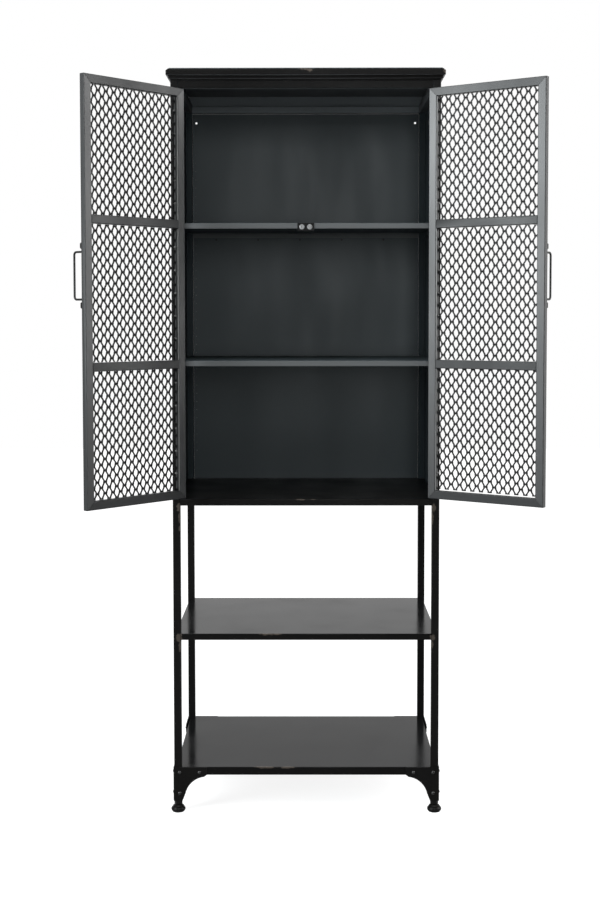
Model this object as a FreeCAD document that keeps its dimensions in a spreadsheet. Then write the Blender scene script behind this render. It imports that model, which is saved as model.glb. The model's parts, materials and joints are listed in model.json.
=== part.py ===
import FreeCAD, Part
import math
import os
import Sketcher

# Storage cabinet of square steel tube and folded sheet: four posts carry two open
# shelves below and a cupboard above, closed by two hinged doors with expanded-metal panels.
# X runs to the right, Y to the back and Z up; the origin is on the floor, midway between
# the posts. The doors stand open: the left one at left_open_angle, the right one wider.

SIZES = {
    # frame
    "width": 640.0,                    # over the posts
    "depth": 430.0,                    # over the posts
    "total_height": 1787.0,
    "post_width": 18.0,
    "post_wall": 1.5,
    "post_corner": 1.2,                # legs of the flat that breaks each corner
    "top_rail_height": 18.0,
    "foot_height": 28.0,               # floor to the lower end of the posts
    # folded sheets
    "sheet": 1.5,
    "bend_radius": 2.0,
    "side_panel_inset": 0.5,           # panel behind the posts' outer faces
    "shelf_side_inset": 5.0,           # open shelves' ends behind the posts' outer faces
    "bottom_shelf_top": 110.5,
    "bottom_shelf_edge": 19.0,
    "middle_shelf_share": 0.244544,    # of the total height
    "middle_shelf_edge": 15.0,
    "cabinet_floor_share": 0.427141,   # of the total height
    "cabinet_floor_edge": 15.5,
    "lower_interior_share": 0.339613,  # of the cupboard's inside height
    "upper_interior_share": 0.676461,
    "interior_shelf_edge": 13.0,
    "interior_shelf_setback": 20.0,
    "wall_hole_diameter": 5.5,
    "wall_hole_edge_distance": 10.0,   # in from the rear posts' inner faces
    "wall_hole_drop": 24.0,            # down from the panel's upper edge
    # cornice
    "cornice_height": 29.0,
    "small_cove": 4.0,
    "cove_step": 2.0,
    "large_cove": 6.0,
    "cornice_chamfer": 5.5,
    "cornice_wall": 1.2,
    "cornice_lean": 11.0,              # how far the inner wall leans outwards
    "flange_clearance": 0.2,           # from the leaning walls to the sheet between them
    "mitre_overrun": 20.0,
    # doors, closed
    "meeting_gap": 3.0,
    "hinge_gap": 2.5,
    "door_gap_below": 5.4,
    "door_gap_above": 5.0,
    "door_tube_width": 20.0,
    "door_tube_depth": 15.0,
    "door_tube_wall": 1.2,
    "door_tube_corner": 1.2,
    "pivot_forward": 7.5,              # hinge axis in front of the door
    "left_open_angle": 132.4,
    "right_open_angle": 145.5,
    # expanded-metal panels
    "mesh_clearance": 0.4,
    "mesh_border": 3.0,
    "mesh_thickness": 2.0,
    "mesh_setback": 2.0,
    "strand_width": 3.4,
    "diamonds_across_count": 4,
    "diamonds_up_count": 3,
    # handles
    "handle_centre_share": 0.541313,   # of the cupboard's inside height
    "handle_inset": 9.0,               # rod in from the door's free edge
    "handle_reach": 35.0,              # rod's centre line out from the door
    "handle_rod_diameter": 5.0,
    "handle_rod_height": 105.5,        # between the two legs' centre lines
    "handle_bend": 7.0,
    "handle_plate_overhang": 20.25,    # beyond the legs' centre lines
    "handle_plate_width": 12.0,
    "handle_plate_thickness": 2.0,
    "handle_pad_width": 18.0,
    "handle_pad_height": 14.0,
    "handle_pad_thickness": 3.6,
    "handle_pad_corner": 2.0,
    "screw_head_diameter": 7.0,
    "screw_head_height": 1.8,
    # hinges
    "hinge_end_distance": 95.0,        # hinge's middle from the door's ends
    "knuckle_height": 26.0,
    "knuckle_diameter": 12.0,
    "knuckle_gap": 0.3,
    "pin_diameter": 6.0,
    "pin_clearance": 0.06,
    "pin_length": 21.0,
    "leaf_width": 14.0,
    "leaf_thickness": 2.0,
    # magnetic catch
    "catch_width": 40.0,
    "catch_height": 19.0,
    "catch_thickness": 2.0,
    "magnet_diameter": 12.5,
    "magnet_spacing": 18.8,
    "magnet_clearance": 0.3,
    # corner brackets
    "bracket_arm": 79.0,
    "bracket_sheet": 2.0,
    "bracket_end_height": 18.5,
    "bracket_bend": 3.0,
    "bracket_lip_run": 7.0,
    "bracket_lip_drop": 5.2,
    "bracket_sweep_radius": 52.0,
    "bracket_throat_width": 27.5,
    "bracket_throat_drop": 63.5,
    "bracket_foot_width": 20.0,
    "rivet_edge": 13.0,
    "rivet_arm_distance": 60.5,
    "rivet_low_drop": 64.0,
    "rivet_diameter": 9.0,
    "rivet_height": 2.8,
    "head_slope": 35.0,                # of the sides of rivet and screw heads
    # levelling feet
    "foot_diameter": 34.5,
    "foot_edge_height": 9.0,
    "foot_hub_height": 19.0,
    "foot_slope": 37.0,                # of its crown, from upright
    "nut_across_flats": 17.0,
    "stem_diameter": 8.0,
    "stem_length": 24.0,
    "stem_clearance": 0.3,
    "plug_height": 12.0,
}

SHEET_NAME = "sizes"
HALF_TURN = 180
QUARTER_TURN = 90


class Size:
    """A length, angle or count: its value now, and its formula in the sheet."""

    def __init__(self, number, formula=None):
        self.number = number
        self.formula = formula if formula else repr(number)

    def joined(self, sign, other, number):
        return Size(number, f"({self.formula} {sign} {other.formula})")

    def __add__(self, other):
        other = as_size(other)
        return self.joined("+", other, self.number + other.number)

    def __sub__(self, other):
        other = as_size(other)
        return self.joined("-", other, self.number - other.number)

    def __mul__(self, other):
        other = as_size(other)
        return self.joined("*", other, self.number * other.number)

    def __truediv__(self, other):
        other = as_size(other)
        return self.joined("/", other, self.number / other.number)

    def __radd__(self, other):
        return as_size(other) + self

    def __rsub__(self, other):
        return as_size(other) - self

    def __rmul__(self, other):
        return as_size(other) * self

    def __neg__(self):
        return Size(-self.number, f"(-{self.formula})")


def as_size(value):
    return value if isinstance(value, Size) else Size(value)


class Sizes:
    """Every cell of the sheet under its own name."""


def make_sheet(document):
    sheet = document.addObject("Spreadsheet::Sheet", SHEET_NAME)
    named = Sizes()
    for row, (name, value) in enumerate(SIZES.items(), start=1):
        sheet.set(f"A{row}", name)
        sheet.set(f"B{row}", str(value))
        sheet.setAlias(f"B{row}", name)
        setattr(named, name, Size(value, f"{SHEET_NAME}.{name}"))
    document.recompute()
    return named


doc = FreeCAD.newDocument("storage_cabinet")
size = make_sheet(doc)
nodes = []

# Places that many pieces share
ZERO = as_size(0)
half_width = size.width / 2
half_depth = size.depth / 2
inner_x = half_width - size.post_width           # posts' faces towards the middle
inner_y = half_depth - size.post_width
post_x = half_width - size.post_width / 2
post_y = half_depth - size.post_width / 2
header_top = size.total_height - size.cornice_height
header_bottom = header_top - size.top_rail_height
middle_shelf_top = size.total_height * size.middle_shelf_share
cabinet_floor_top = size.total_height * size.cabinet_floor_share
cupboard_height = header_bottom - cabinet_floor_top
lower_interior_top = cabinet_floor_top + cupboard_height * size.lower_interior_share
upper_interior_top = cabinet_floor_top + cupboard_height * size.upper_interior_share
handle_centre_height = cabinet_floor_top + cupboard_height * size.handle_centre_share
cupboard_bottom = cabinet_floor_top - size.cabinet_floor_edge
panel_x = half_width - size.side_panel_inset - size.sheet    # side panels' inner faces
panel_y = half_depth - size.sheet                            # back panel's inner face
interior_front = -half_depth + size.interior_shelf_setback
cornice_overhang = size.small_cove + size.large_cove

# The doors' own frame: origin on the hinge axis, door closed, free edge towards +X
pivot_x = inner_x - size.hinge_gap / 2
pivot_y = half_depth + size.pivot_forward
door_width = inner_x - size.hinge_gap - size.meeting_gap / 2
door_bottom = cabinet_floor_top + size.door_gap_below
door_top = header_bottom - size.door_gap_above
door_height = door_top - door_bottom
door_start = size.hinge_gap / 2
door_end = door_start + door_width
door_outer = size.pivot_forward
low_rail_middle = lower_interior_top - size.interior_shelf_edge / 2
high_rail_middle = upper_interior_top - size.interior_shelf_edge / 2
rod_x = door_end - size.handle_inset


def bind(thing, name, formula):
    thing.setExpression(name, as_size(formula).formula)


def vector_text(x, y, z):
    x, y, z = (as_size(value).formula for value in (x, y, z))
    return f"vector({x}; {y}; {z})"


def placed(x, y, z, axis="0; 0; 1", angle=0):
    """The formula of a placement: a place, then a turn about an axis."""
    turn = as_size(angle).formula
    return f"placement({vector_text(x, y, z)}; rotation(vector({axis}); {turn}))"


ALONG_X = ("0; 1; 0", QUARTER_TURN)    # stands a piece's Z axis along X
ALONG_Y = ("1; 0; 0", -QUARTER_TURN)   # stands a piece's Z axis along Y
FACING_FRONT = ("1; 0; 0", QUARTER_TURN)
FACING_LEFT = ("0; 1; 0", -QUARTER_TURN)
AT_ORIGIN = placed(ZERO, ZERO, ZERO)


def keep(thing, name, placement=AT_ORIGIN):
    """Name a finished piece and put it in its place."""
    thing.Label = name
    thing.setExpression("Placement", placement)
    nodes.append(thing)
    return thing


def new_body(name):
    return doc.addObject("PartDesign::Body", name + "_body")


def new_sketch(body, name, role="XY_Plane", lift=None):
    """A sketch on one of the body's own planes, or lifted off it along the plane's normal."""
    sketch = body.newObject("Sketcher::SketchObject", name)
    plane = [item for item in body.Origin.OriginFeatures if item.Role == role][0]
    sketch.AttachmentSupport = (plane, "")
    sketch.MapMode = "FlatFace"
    if lift is not None:
        sketch.setExpression("AttachmentOffset", placed(ZERO, ZERO, lift))
    return sketch


def measured(kind, value, *points):
    """A rule of a sketch together with the formula that drives it."""
    value = as_size(value)
    return Sketcher.Constraint(kind, *points, value.number), value.formula


def fixed_point(geometry, position, x, y):
    """Hold one point of a sketch at a place given by the sheet."""
    return [measured("DistanceX", x, -1, 1, geometry, position),
            measured("DistanceY", y, -1, 1, geometry, position)]


def add_rules(sketch, rules):
    start = sketch.ConstraintCount
    sketch.addConstraint([rule for rule, _ in rules])
    for number, (_, formula) in enumerate(rules, start=start):
        if formula:
            sketch.setExpression(f"Constraints[{number}]", formula)


def add_run(sketch, begin, finish, radius, rules):
    """Add a line, or an arc whose centre lies left (radius > 0) or right of the way."""
    if radius is None:
        return sketch.addGeometry(Part.LineSegment(begin, finish)), 1, 2
    way = finish - begin
    reach = abs(radius.number)
    side = math.copysign(math.sqrt(reach ** 2 - way.Length ** 2 / 4), radius.number)
    across = FreeCAD.Vector(-way.y, way.x, 0).normalize()
    centre = (begin + finish) * 0.5 + across * side
    first = math.atan2(begin.y - centre.y, begin.x - centre.x)
    last = math.atan2(finish.y - centre.y, finish.x - centre.x)
    circle = Part.Circle(centre, FreeCAD.Vector(0, 0, 1), reach)
    turned_left = radius.number > 0
    ends = (first, last) if turned_left else (last, first)
    index = sketch.addGeometry(Part.ArcOfCircle(circle, *ends))
    rules.append(measured("Radius", radius if turned_left else -radius, index))
    return (index, 1, 2) if turned_left else (index, 2, 1)


def join_runs(runs, places):
    """Join each run's end to the start of the next."""
    rules = []
    for place in places:
        index, _, finish = runs[place]
        next_index, next_start, _ = runs[(place + 1) % len(runs)]
        rule = Sketcher.Constraint("Coincident", index, finish, next_index, next_start)
        rules.append((rule, None))
    return rules


def draw_outline(sketch, corners):
    """Draw a closed outline; a corner's third value is the radius of the run after it."""
    corners = [tuple(as_size(value) for value in corner) for corner in corners]
    spots = [FreeCAD.Vector(corner[0].number, corner[1].number, 0) for corner in corners]
    runs = []
    rules = []
    for place, corner in enumerate(corners):
        radius = corner[2] if len(corner) > 2 else None
        following = spots[(place + 1) % len(spots)]
        runs.append(add_run(sketch, spots[place], following, radius, rules))
    rules += join_runs(runs, range(len(runs)))
    for corner, (index, start, _) in zip(corners, runs):
        rules += fixed_point(index, start, corner[0], corner[1])
    add_rules(sketch, rules)


def draw_path(sketch, corners):
    """Draw an open line through the corners, with the same round runs."""
    corners = [tuple(as_size(value) for value in corner) for corner in corners]
    spots = [FreeCAD.Vector(corner[0].number, corner[1].number, 0) for corner in corners]
    runs = []
    rules = []
    for place, corner in enumerate(corners[:-1]):
        radius = corner[2] if len(corner) > 2 else None
        runs.append(add_run(sketch, spots[place], spots[place + 1], radius, rules))
    rules += join_runs(runs, range(len(runs) - 1))
    for corner, (index, start, _) in zip(corners, runs):
        rules += fixed_point(index, start, corner[0], corner[1])
    index, _, finish = runs[-1]
    rules += fixed_point(index, finish, corners[-1][0], corners[-1][1])
    add_rules(sketch, rules)


def draw_rectangle(sketch, x_low, y_low, x_high, y_high):
    corners = [(x_low, y_low), (x_high, y_low), (x_high, y_high), (x_low, y_high)]
    draw_outline(sketch, corners)


def draw_broken_rectangle(sketch, x_low, y_low, x_high, y_high, corner):
    """A rectangle with its corners broken by small flats."""
    draw_outline(sketch, [
        (x_low + corner, y_low), (x_high - corner, y_low),
        (x_high, y_low + corner), (x_high, y_high - corner),
        (x_high - corner, y_high), (x_low + corner, y_high),
        (x_low, y_high - corner), (x_low, y_low + corner)])


def draw_polygon(sketch, x, y, diameter, sides):
    """A regular polygon whose corners lie on a circle."""
    turns = [math.tau * number / sides for number in range(sides)]
    draw_outline(sketch, [(x + diameter * (math.cos(turn) / 2), y + diameter * (math.sin(turn) / 2))
                          for turn in turns])


def draw_circle(sketch, x, y, diameter):
    centre = FreeCAD.Vector(as_size(x).number, as_size(y).number, 0)
    circle = Part.Circle(centre, FreeCAD.Vector(0, 0, 1), diameter.number / 2)
    index = sketch.addGeometry(circle)
    add_rules(sketch, fixed_point(index, 3, x, y) + [measured("Diameter", diameter, index)])


def pad(body, sketch, length, reverse=False):
    feature = body.newObject("PartDesign::Pad", sketch.Name + "_pad")
    feature.Profile = sketch
    bind(feature, "Length", length)
    feature.Reversed = reverse
    return feature


def pocket_through(body, sketch):
    """Cut through everything, to both sides of the sketch."""
    feature = body.newObject("PartDesign::Pocket", sketch.Name + "_pocket")
    feature.Profile = sketch
    feature.Type = "ThroughAll"
    feature.Midplane = True
    return feature


def pocket(body, sketch, depth, reverse=False):
    feature = body.newObject("PartDesign::Pocket", sketch.Name + "_pocket")
    feature.Profile = sketch
    bind(feature, "Length", depth)
    feature.Reversed = reverse
    return feature


def round_edges(body, feature, radius, chosen):
    """Round the edges of a feature whose middle and direction pass the test."""
    doc.recompute()
    names = []
    for number, edge in enumerate(feature.Shape.Edges, start=1):
        middle = edge.BoundBox.Center
        way = edge.valueAt(edge.LastParameter) - edge.valueAt(edge.FirstParameter)
        if way.Length and chosen(middle, way.normalize()):
            names.append(f"Edge{number}")
    fillet = body.newObject("PartDesign::Fillet", feature.Name + "_rounded")
    fillet.Base = (feature, names)
    bind(fillet, "Radius", radius)
    return fillet


NEAR_SHARE = 0.1         # of the sheet's thickness, when an edge is looked for by its place
PARALLEL_SHARE = 0.5     # of a way's length that lies along the wanted axis


def close_to(value, wanted):
    """On either side of the middle, at the wanted distance from it."""
    return abs(abs(value) - abs(wanted.number)) < size.sheet.number * NEAR_SHARE


# Square and flat tubes

def make_tube(name, width, depth, wall, corner, length):
    """A welded tube standing on its origin, Z along its length."""
    body = new_body(name)
    sketch = new_sketch(body, name + "_section")
    draw_broken_rectangle(sketch, -width / 2, -depth / 2, width / 2, depth / 2, corner)
    bore_x = width / 2 - wall
    bore_y = depth / 2 - wall
    draw_rectangle(sketch, -bore_x, -bore_y, bore_x, bore_y)
    pad(body, sketch, length)
    return body


def make_post(name, x, y):
    """A post with a drilled plug in its lower end for the foot's stem."""
    length = header_top - size.foot_height
    body = make_tube(name, size.post_width, size.post_width, size.post_wall,
                     size.post_corner, length)
    sketch = new_sketch(body, name + "_plug")
    bore = size.post_width / 2 - size.post_wall
    draw_rectangle(sketch, -bore, -bore, bore, bore)
    draw_circle(sketch, ZERO, ZERO, size.stem_diameter + 2 * size.stem_clearance)
    pad(body, sketch, size.plug_height)
    keep(body, name, placed(x, y, size.foot_height))


def make_top_rail(name, length, x, y, turn):
    body = make_tube(name, size.top_rail_height, size.post_width, size.post_wall,
                     size.post_corner, length)
    keep(body, name, placed(x, y, header_top - size.top_rail_height / 2, *turn))


def make_frame():
    for y_name, y in (("front", -post_y), ("rear", post_y)):
        for x_name, x in (("left", -post_x), ("right", post_x)):
            make_post(f"{y_name}_{x_name}_post", x, y)
        make_top_rail(f"top_{y_name}_rail", 2 * inner_x, -inner_x, y, ALONG_X)
    for x_name, x in (("left", -post_x), ("right", post_x)):
        name = f"top_{x_name}_rail"
        body = make_tube(name, size.post_width, size.top_rail_height, size.post_wall,
                         size.post_corner, 2 * inner_y)
        keep(body, name, placed(x, -inner_y, header_top - size.top_rail_height / 2, *ALONG_Y))


# Shelves: folded trays, open below, notched round the posts

def tray_outline(side, front, back, front_notched):
    """The sheet seen from above, anticlockwise from its front left corner."""
    if front_notched:
        front_end = [(-inner_x, front), (inner_x, front), (inner_x, -inner_y), (side, -inner_y)]
        closing = [(-side, -inner_y), (-inner_x, -inner_y)]
    else:
        front_end = [(-side, front), (side, front)]
        closing = []
    rear_end = [(side, inner_y), (inner_x, inner_y), (inner_x, back),
                (-inner_x, back), (-inner_x, inner_y), (-side, inner_y)]
    return front_end + rear_end + closing


def make_tray(name, top, edge, side, front, back, front_notched):
    body = new_body(name)
    sheet = new_sketch(body, name + "_sheet")
    draw_outline(sheet, tray_outline(side, front, back, front_notched))
    pad(body, sheet, size.sheet, reverse=True)
    flanges = new_sketch(body, name + "_flanges")
    front_reach = inner_x if front_notched else side
    side_start = -inner_y if front_notched else front + size.sheet
    draw_rectangle(flanges, -front_reach, front, front_reach, front + size.sheet)
    draw_rectangle(flanges, -inner_x, back - size.sheet, inner_x, back)
    draw_rectangle(flanges, -side, side_start, -side + size.sheet, inner_y)
    draw_rectangle(flanges, side - size.sheet, side_start, side, inner_y)
    folded = pad(body, flanges, edge, reverse=True)
    round_edges(body, folded, size.bend_radius, lambda middle, way: abs(way.x) > PARALLEL_SHARE
                and close_to(middle.z, ZERO) and close_to(middle.y, front))
    keep(body, name, placed(ZERO, ZERO, top))


def make_shelves():
    open_side = half_width - size.shelf_side_inset
    make_tray("bottom_shelf", size.bottom_shelf_top, size.bottom_shelf_edge,
              open_side, -half_depth, half_depth, True)
    make_tray("middle_shelf", middle_shelf_top, size.middle_shelf_edge,
              open_side, -half_depth, half_depth, True)
    make_tray("cabinet_floor", cabinet_floor_top, size.cabinet_floor_edge,
              panel_x, -half_depth, panel_y, True)
    for name, top in (("lower_interior_shelf", lower_interior_top),
                      ("upper_interior_shelf", upper_interior_top)):
        make_tray(name, top, size.interior_shelf_edge, panel_x, interior_front, panel_y, False)


# Cupboard walls

def make_walls():
    body = new_body("back_panel")
    sketch = new_sketch(body, "back_panel_outline", "XZ_Plane")
    draw_rectangle(sketch, -inner_x, cupboard_bottom, inner_x, header_bottom)
    hole_x = inner_x - size.wall_hole_edge_distance
    hole_z = header_bottom - size.wall_hole_drop
    for x in (-hole_x, hole_x):
        draw_circle(sketch, x, hole_z, size.wall_hole_diameter)
    pad(body, sketch, size.sheet)
    keep(body, "back_panel", placed(ZERO, half_depth, ZERO))
    for name, x in (("left_side_panel", -panel_x - size.sheet), ("right_side_panel", panel_x)):
        body = new_body(name)
        sketch = new_sketch(body, name + "_outline", "YZ_Plane")
        draw_rectangle(sketch, -inner_y, cupboard_bottom, inner_y, header_bottom)
        pad(body, sketch, size.sheet)
        keep(body, name, placed(x, ZERO, ZERO))


# Cornice: a hollow folded moulding on the front and both sides, under a flat top sheet

def cornice_section(sketch, side, base):
    """The moulding's section: outwards from the posts' face at base, up from the header."""
    wall = size.cornice_wall
    small = size.small_cove
    large = size.large_cove
    step_top = small + size.cove_step
    crown = size.cornice_height - size.sheet
    shoulder = crown - size.cornice_chamfer
    chamfer_in = cornice_overhang - size.cornice_chamfer
    heel = -size.post_width
    crown_heel = heel + size.cornice_lean
    outer = [
        (heel, ZERO), (ZERO, ZERO, -small), (small, small), (small, step_top, -large),
        (cornice_overhang, step_top + large), (cornice_overhang, shoulder),
        (chamfer_in, crown), (crown_heel, crown)]
    inner = [
        (heel + 2 * wall, wall), (-wall, wall), (small - 2 * wall, small + wall),
        (small - wall, step_top + 2 * wall), (cornice_overhang - 2 * wall, step_top + large + wall),
        (cornice_overhang - wall, shoulder - wall), (chamfer_in - wall, crown - wall),
        (crown_heel + wall, crown - wall)]
    for corners in (outer, inner):
        draw_outline(sketch, [(side * (base + corner[0]), *corner[1:2],
                               *(side * radius for radius in corner[2:])) for corner in corners])


def make_cornice():
    reach_x = half_width + cornice_overhang
    reach_y = half_depth + cornice_overhang
    run = cornice_overhang + size.post_width + size.mitre_overrun
    front = new_body("cornice_front")
    section = new_sketch(front, "cornice_front_section", "YZ_Plane", -reach_x)
    cornice_section(section, -1, half_depth)
    pad(front, section, 2 * reach_x)
    mitres = new_sketch(front, "cornice_front_mitres")
    for side in (-1, 1):
        draw_outline(mitres, [
            (side * (reach_x + size.mitre_overrun), -reach_y - size.mitre_overrun),
            (side * (reach_x - run), run - reach_y),
            (side * (reach_x + size.mitre_overrun), run - reach_y)])
    pocket_through(front, mitres)
    keep(front, "cornice_front", placed(ZERO, ZERO, header_top))
    for side_name, side in (("left", -1), ("right", 1)):
        name = f"cornice_{side_name}"
        body = new_body(name)
        section = new_sketch(body, name + "_section", "XZ_Plane", -half_depth)
        cornice_section(section, side, half_width)
        pad(body, section, half_depth + reach_y)
        mitre = new_sketch(body, name + "_mitre")
        draw_outline(mitre, [
            (side * (reach_x + size.mitre_overrun), -reach_y - size.mitre_overrun),
            (side * (reach_x - run), run - reach_y),
            (side * (reach_x - run), -reach_y - size.mitre_overrun)])
        pocket_through(body, mitre)
        keep(body, name, placed(ZERO, ZERO, header_top))


def make_top_sheet():
    setback = size.cornice_chamfer + size.sheet
    side = half_width + cornice_overhang - setback
    front = -half_depth - cornice_overhang + setback
    body = new_body("top_sheet")
    sheet = new_sketch(body, "top_sheet_outline")
    draw_rectangle(sheet, -side, front, side, half_depth)
    pad(body, sheet, size.sheet, reverse=True)
    flange = new_sketch(body, "top_sheet_rear_flange", "XZ_Plane", -half_depth)
    foot = inner_x - size.flange_clearance
    shoulder = foot + size.cornice_lean
    draw_outline(flange, [
        (-foot, -size.cornice_height), (foot, -size.cornice_height),
        (shoulder, -size.sheet), (shoulder, ZERO), (-shoulder, ZERO), (-shoulder, -size.sheet)])
    pad(body, flange, size.sheet)
    keep(body, "top_sheet", placed(ZERO, ZERO, size.total_height))


# Doors: each piece is made closed, in the door's own frame, then swung open

LEFT_DOOR = placed(-pivot_x, -pivot_y, ZERO, angle=-size.left_open_angle)
WIDER_ON_THE_RIGHT = (
    placed(pivot_x, -pivot_y, ZERO, angle=size.right_open_angle - size.left_open_angle)
    + " * " + placed(-pivot_x, pivot_y, ZERO))


def on_door(x, y, z, axis="0; 0; 1", angle=0):
    return LEFT_DOOR + " * " + placed(x, y, z, axis, angle)


def mirrored(source, name, placement=AT_ORIGIN, normal=(1, 0, 0)):
    """The same piece on the cabinet's other side."""
    mirror = doc.addObject("Part::Mirroring", name + "_mirror")
    mirror.Source = source
    mirror.Normal = normal
    return keep(mirror, name, placement)


def group(name, members, placement=AT_ORIGIN):
    """Like pieces that share a name: separate solids in one node."""
    compound = doc.addObject("Part::Compound", name + "_group")
    compound.Links = members
    return keep(compound, name, placement)


def mitre_ends(body, name, width, depth, length):
    """Cut a tube's ends at half a right angle, longest on its +X side."""
    cut = new_sketch(body, name + "_mitres", "XZ_Plane")
    over = size.mitre_overrun
    for end, way in ((ZERO, 1), (length, -1)):
        draw_outline(cut, [
            (width / 2 + over, end - way * over),
            (-width / 2 - over, end + way * (width + over)),
            (-width / 2 - over, end - way * over)])
    pocket_through(body, cut)


def make_door_frame():
    tube_width = size.door_tube_width
    tube_depth = size.door_tube_depth
    middle_y = door_outer + tube_depth / 2
    section = (size.door_tube_wall, size.door_tube_corner)
    for name, x, turn in (("hinge_stile", door_start + tube_width / 2, HALF_TURN),
                          ("free_stile", door_end - tube_width / 2, 0)):
        name = "left_door_" + name
        body = make_tube(name, tube_width, tube_depth, *section, door_height)
        mitre_ends(body, name, tube_width, tube_depth, door_height)
        keep(body, name, on_door(x, middle_y, door_bottom, angle=turn))
    for name, z, turn in (("bottom_rail", door_bottom + tube_width / 2, QUARTER_TURN),
                          ("top_rail", door_top - tube_width / 2, -QUARTER_TURN)):
        name = "left_door_" + name
        body = make_tube(name, tube_width, tube_depth, *section, door_width)
        mitre_ends(body, name, tube_width, tube_depth, door_width)
        start = door_start if turn > 0 else door_end
        keep(body, name, on_door(start, middle_y, z, "0; 1; 0", turn))
    for name, z in (("lower_middle_rail", low_rail_middle), ("upper_middle_rail", high_rail_middle)):
        name = "left_door_" + name
        body = make_tube(name, tube_width, tube_depth, *section, door_width - 2 * tube_width)
        keep(body, name, on_door(door_start + tube_width, middle_y, z, *ALONG_X))


# Expanded metal: two interleaved lattices of diamonds, closed by a narrow border

EVEN_SPACING = -1.0    # marks a gap of the lattice that has no width of its own


def hypotenuse(one, other):
    number = math.hypot(one.number, other.number)
    return Size(number, f"hypot({one.formula}; {other.formula})")


def cut_diamonds(body, name, x, z, half_x, half_z, pitch_x, pitch_z, across, up):
    sketch = new_sketch(body, name, "XZ_Plane")
    draw_outline(sketch, [(x - half_x, z), (x, z - half_z), (x + half_x, z), (x, z + half_z)])
    first = pocket_through(body, sketch)
    doc.recompute()
    lattice = body.newObject("PartDesign::LinearPattern", name + "_lattice")
    lattice.Originals = [first]
    lattice.Direction = (sketch, ["H_Axis"])
    lattice.Direction2 = (sketch, ["V_Axis"])
    lattice.Mode = "Spacing"
    lattice.Mode2 = "Spacing"
    bind(lattice, "Offset", pitch_x)
    bind(lattice, "Offset2", pitch_z)
    bind(lattice, "Occurrences", across)
    bind(lattice, "Occurrences2", up)
    lattice.Spacings2 = [EVEN_SPACING] * (up.number - 1)
    body.Tip = lattice


def make_mesh_panel(name, bottom, top):
    clear = size.mesh_clearance
    border = size.mesh_border
    left = door_start + size.door_tube_width + clear
    width = door_width - 2 * (size.door_tube_width + clear)
    height = top - bottom - 2 * clear
    pitch_x = (width - 2 * border) / size.diamonds_across_count
    pitch_z = (height - 2 * border) / size.diamonds_up_count
    thinning = size.strand_width * hypotenuse(pitch_x, pitch_z) / (pitch_x * pitch_z)
    half_x = pitch_x / 2 * (1 - thinning)
    half_z = pitch_z / 2 * (1 - thinning)
    body = new_body(name)
    plate = new_sketch(body, name + "_plate", "XZ_Plane")
    draw_rectangle(plate, ZERO, ZERO, width, height)
    pad(body, plate, size.mesh_thickness)
    doc.recompute()
    cut_diamonds(body, name + "_diamonds", border + pitch_x / 2, border + pitch_z / 2,
                 half_x, half_z, pitch_x, pitch_z, size.diamonds_across_count, size.diamonds_up_count)
    doc.recompute()
    cut_diamonds(body, name + "_between", border, border, half_x, half_z,
                 pitch_x, pitch_z, size.diamonds_across_count + 1, size.diamonds_up_count + 1)
    doc.recompute()
    rim = new_sketch(body, name + "_border", "XZ_Plane")
    draw_rectangle(rim, ZERO, ZERO, width, height)
    draw_rectangle(rim, border, border, width - border, height - border)
    pad(body, rim, size.mesh_thickness)
    back_face = door_outer + size.mesh_setback + size.mesh_thickness
    keep(body, name, on_door(left, back_face, bottom + clear))


def make_mesh_panels():
    half_rail = size.door_tube_width / 2
    panels = (("lower_mesh_panel", door_bottom + 2 * half_rail, low_rail_middle - half_rail),
              ("middle_mesh_panel", low_rail_middle + half_rail, high_rail_middle - half_rail),
              ("upper_mesh_panel", high_rail_middle + half_rail, door_top - 2 * half_rail))
    for name, bottom, top in panels:
        make_mesh_panel("left_door_" + name, bottom, top)


HEAD_SIDES = 8


def make_head(name, diameter, height):
    """A low many-sided head with sloping sides, its Z axis pointing out of the head."""
    body = new_body(name)
    sketch = new_sketch(body, name + "_rim")
    draw_polygon(sketch, ZERO, ZERO, diameter, HEAD_SIDES)
    head = pad(body, sketch, height)
    bind(head, "TaperAngle", -size.head_slope)
    return body


BEND_STEPS = 2      # short straight runs that make each bend of the handle's rod
BEND_TURNS = [math.pi / 2 * step / BEND_STEPS for step in range(BEND_STEPS + 1)]
ROD_SIDES = 12


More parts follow.
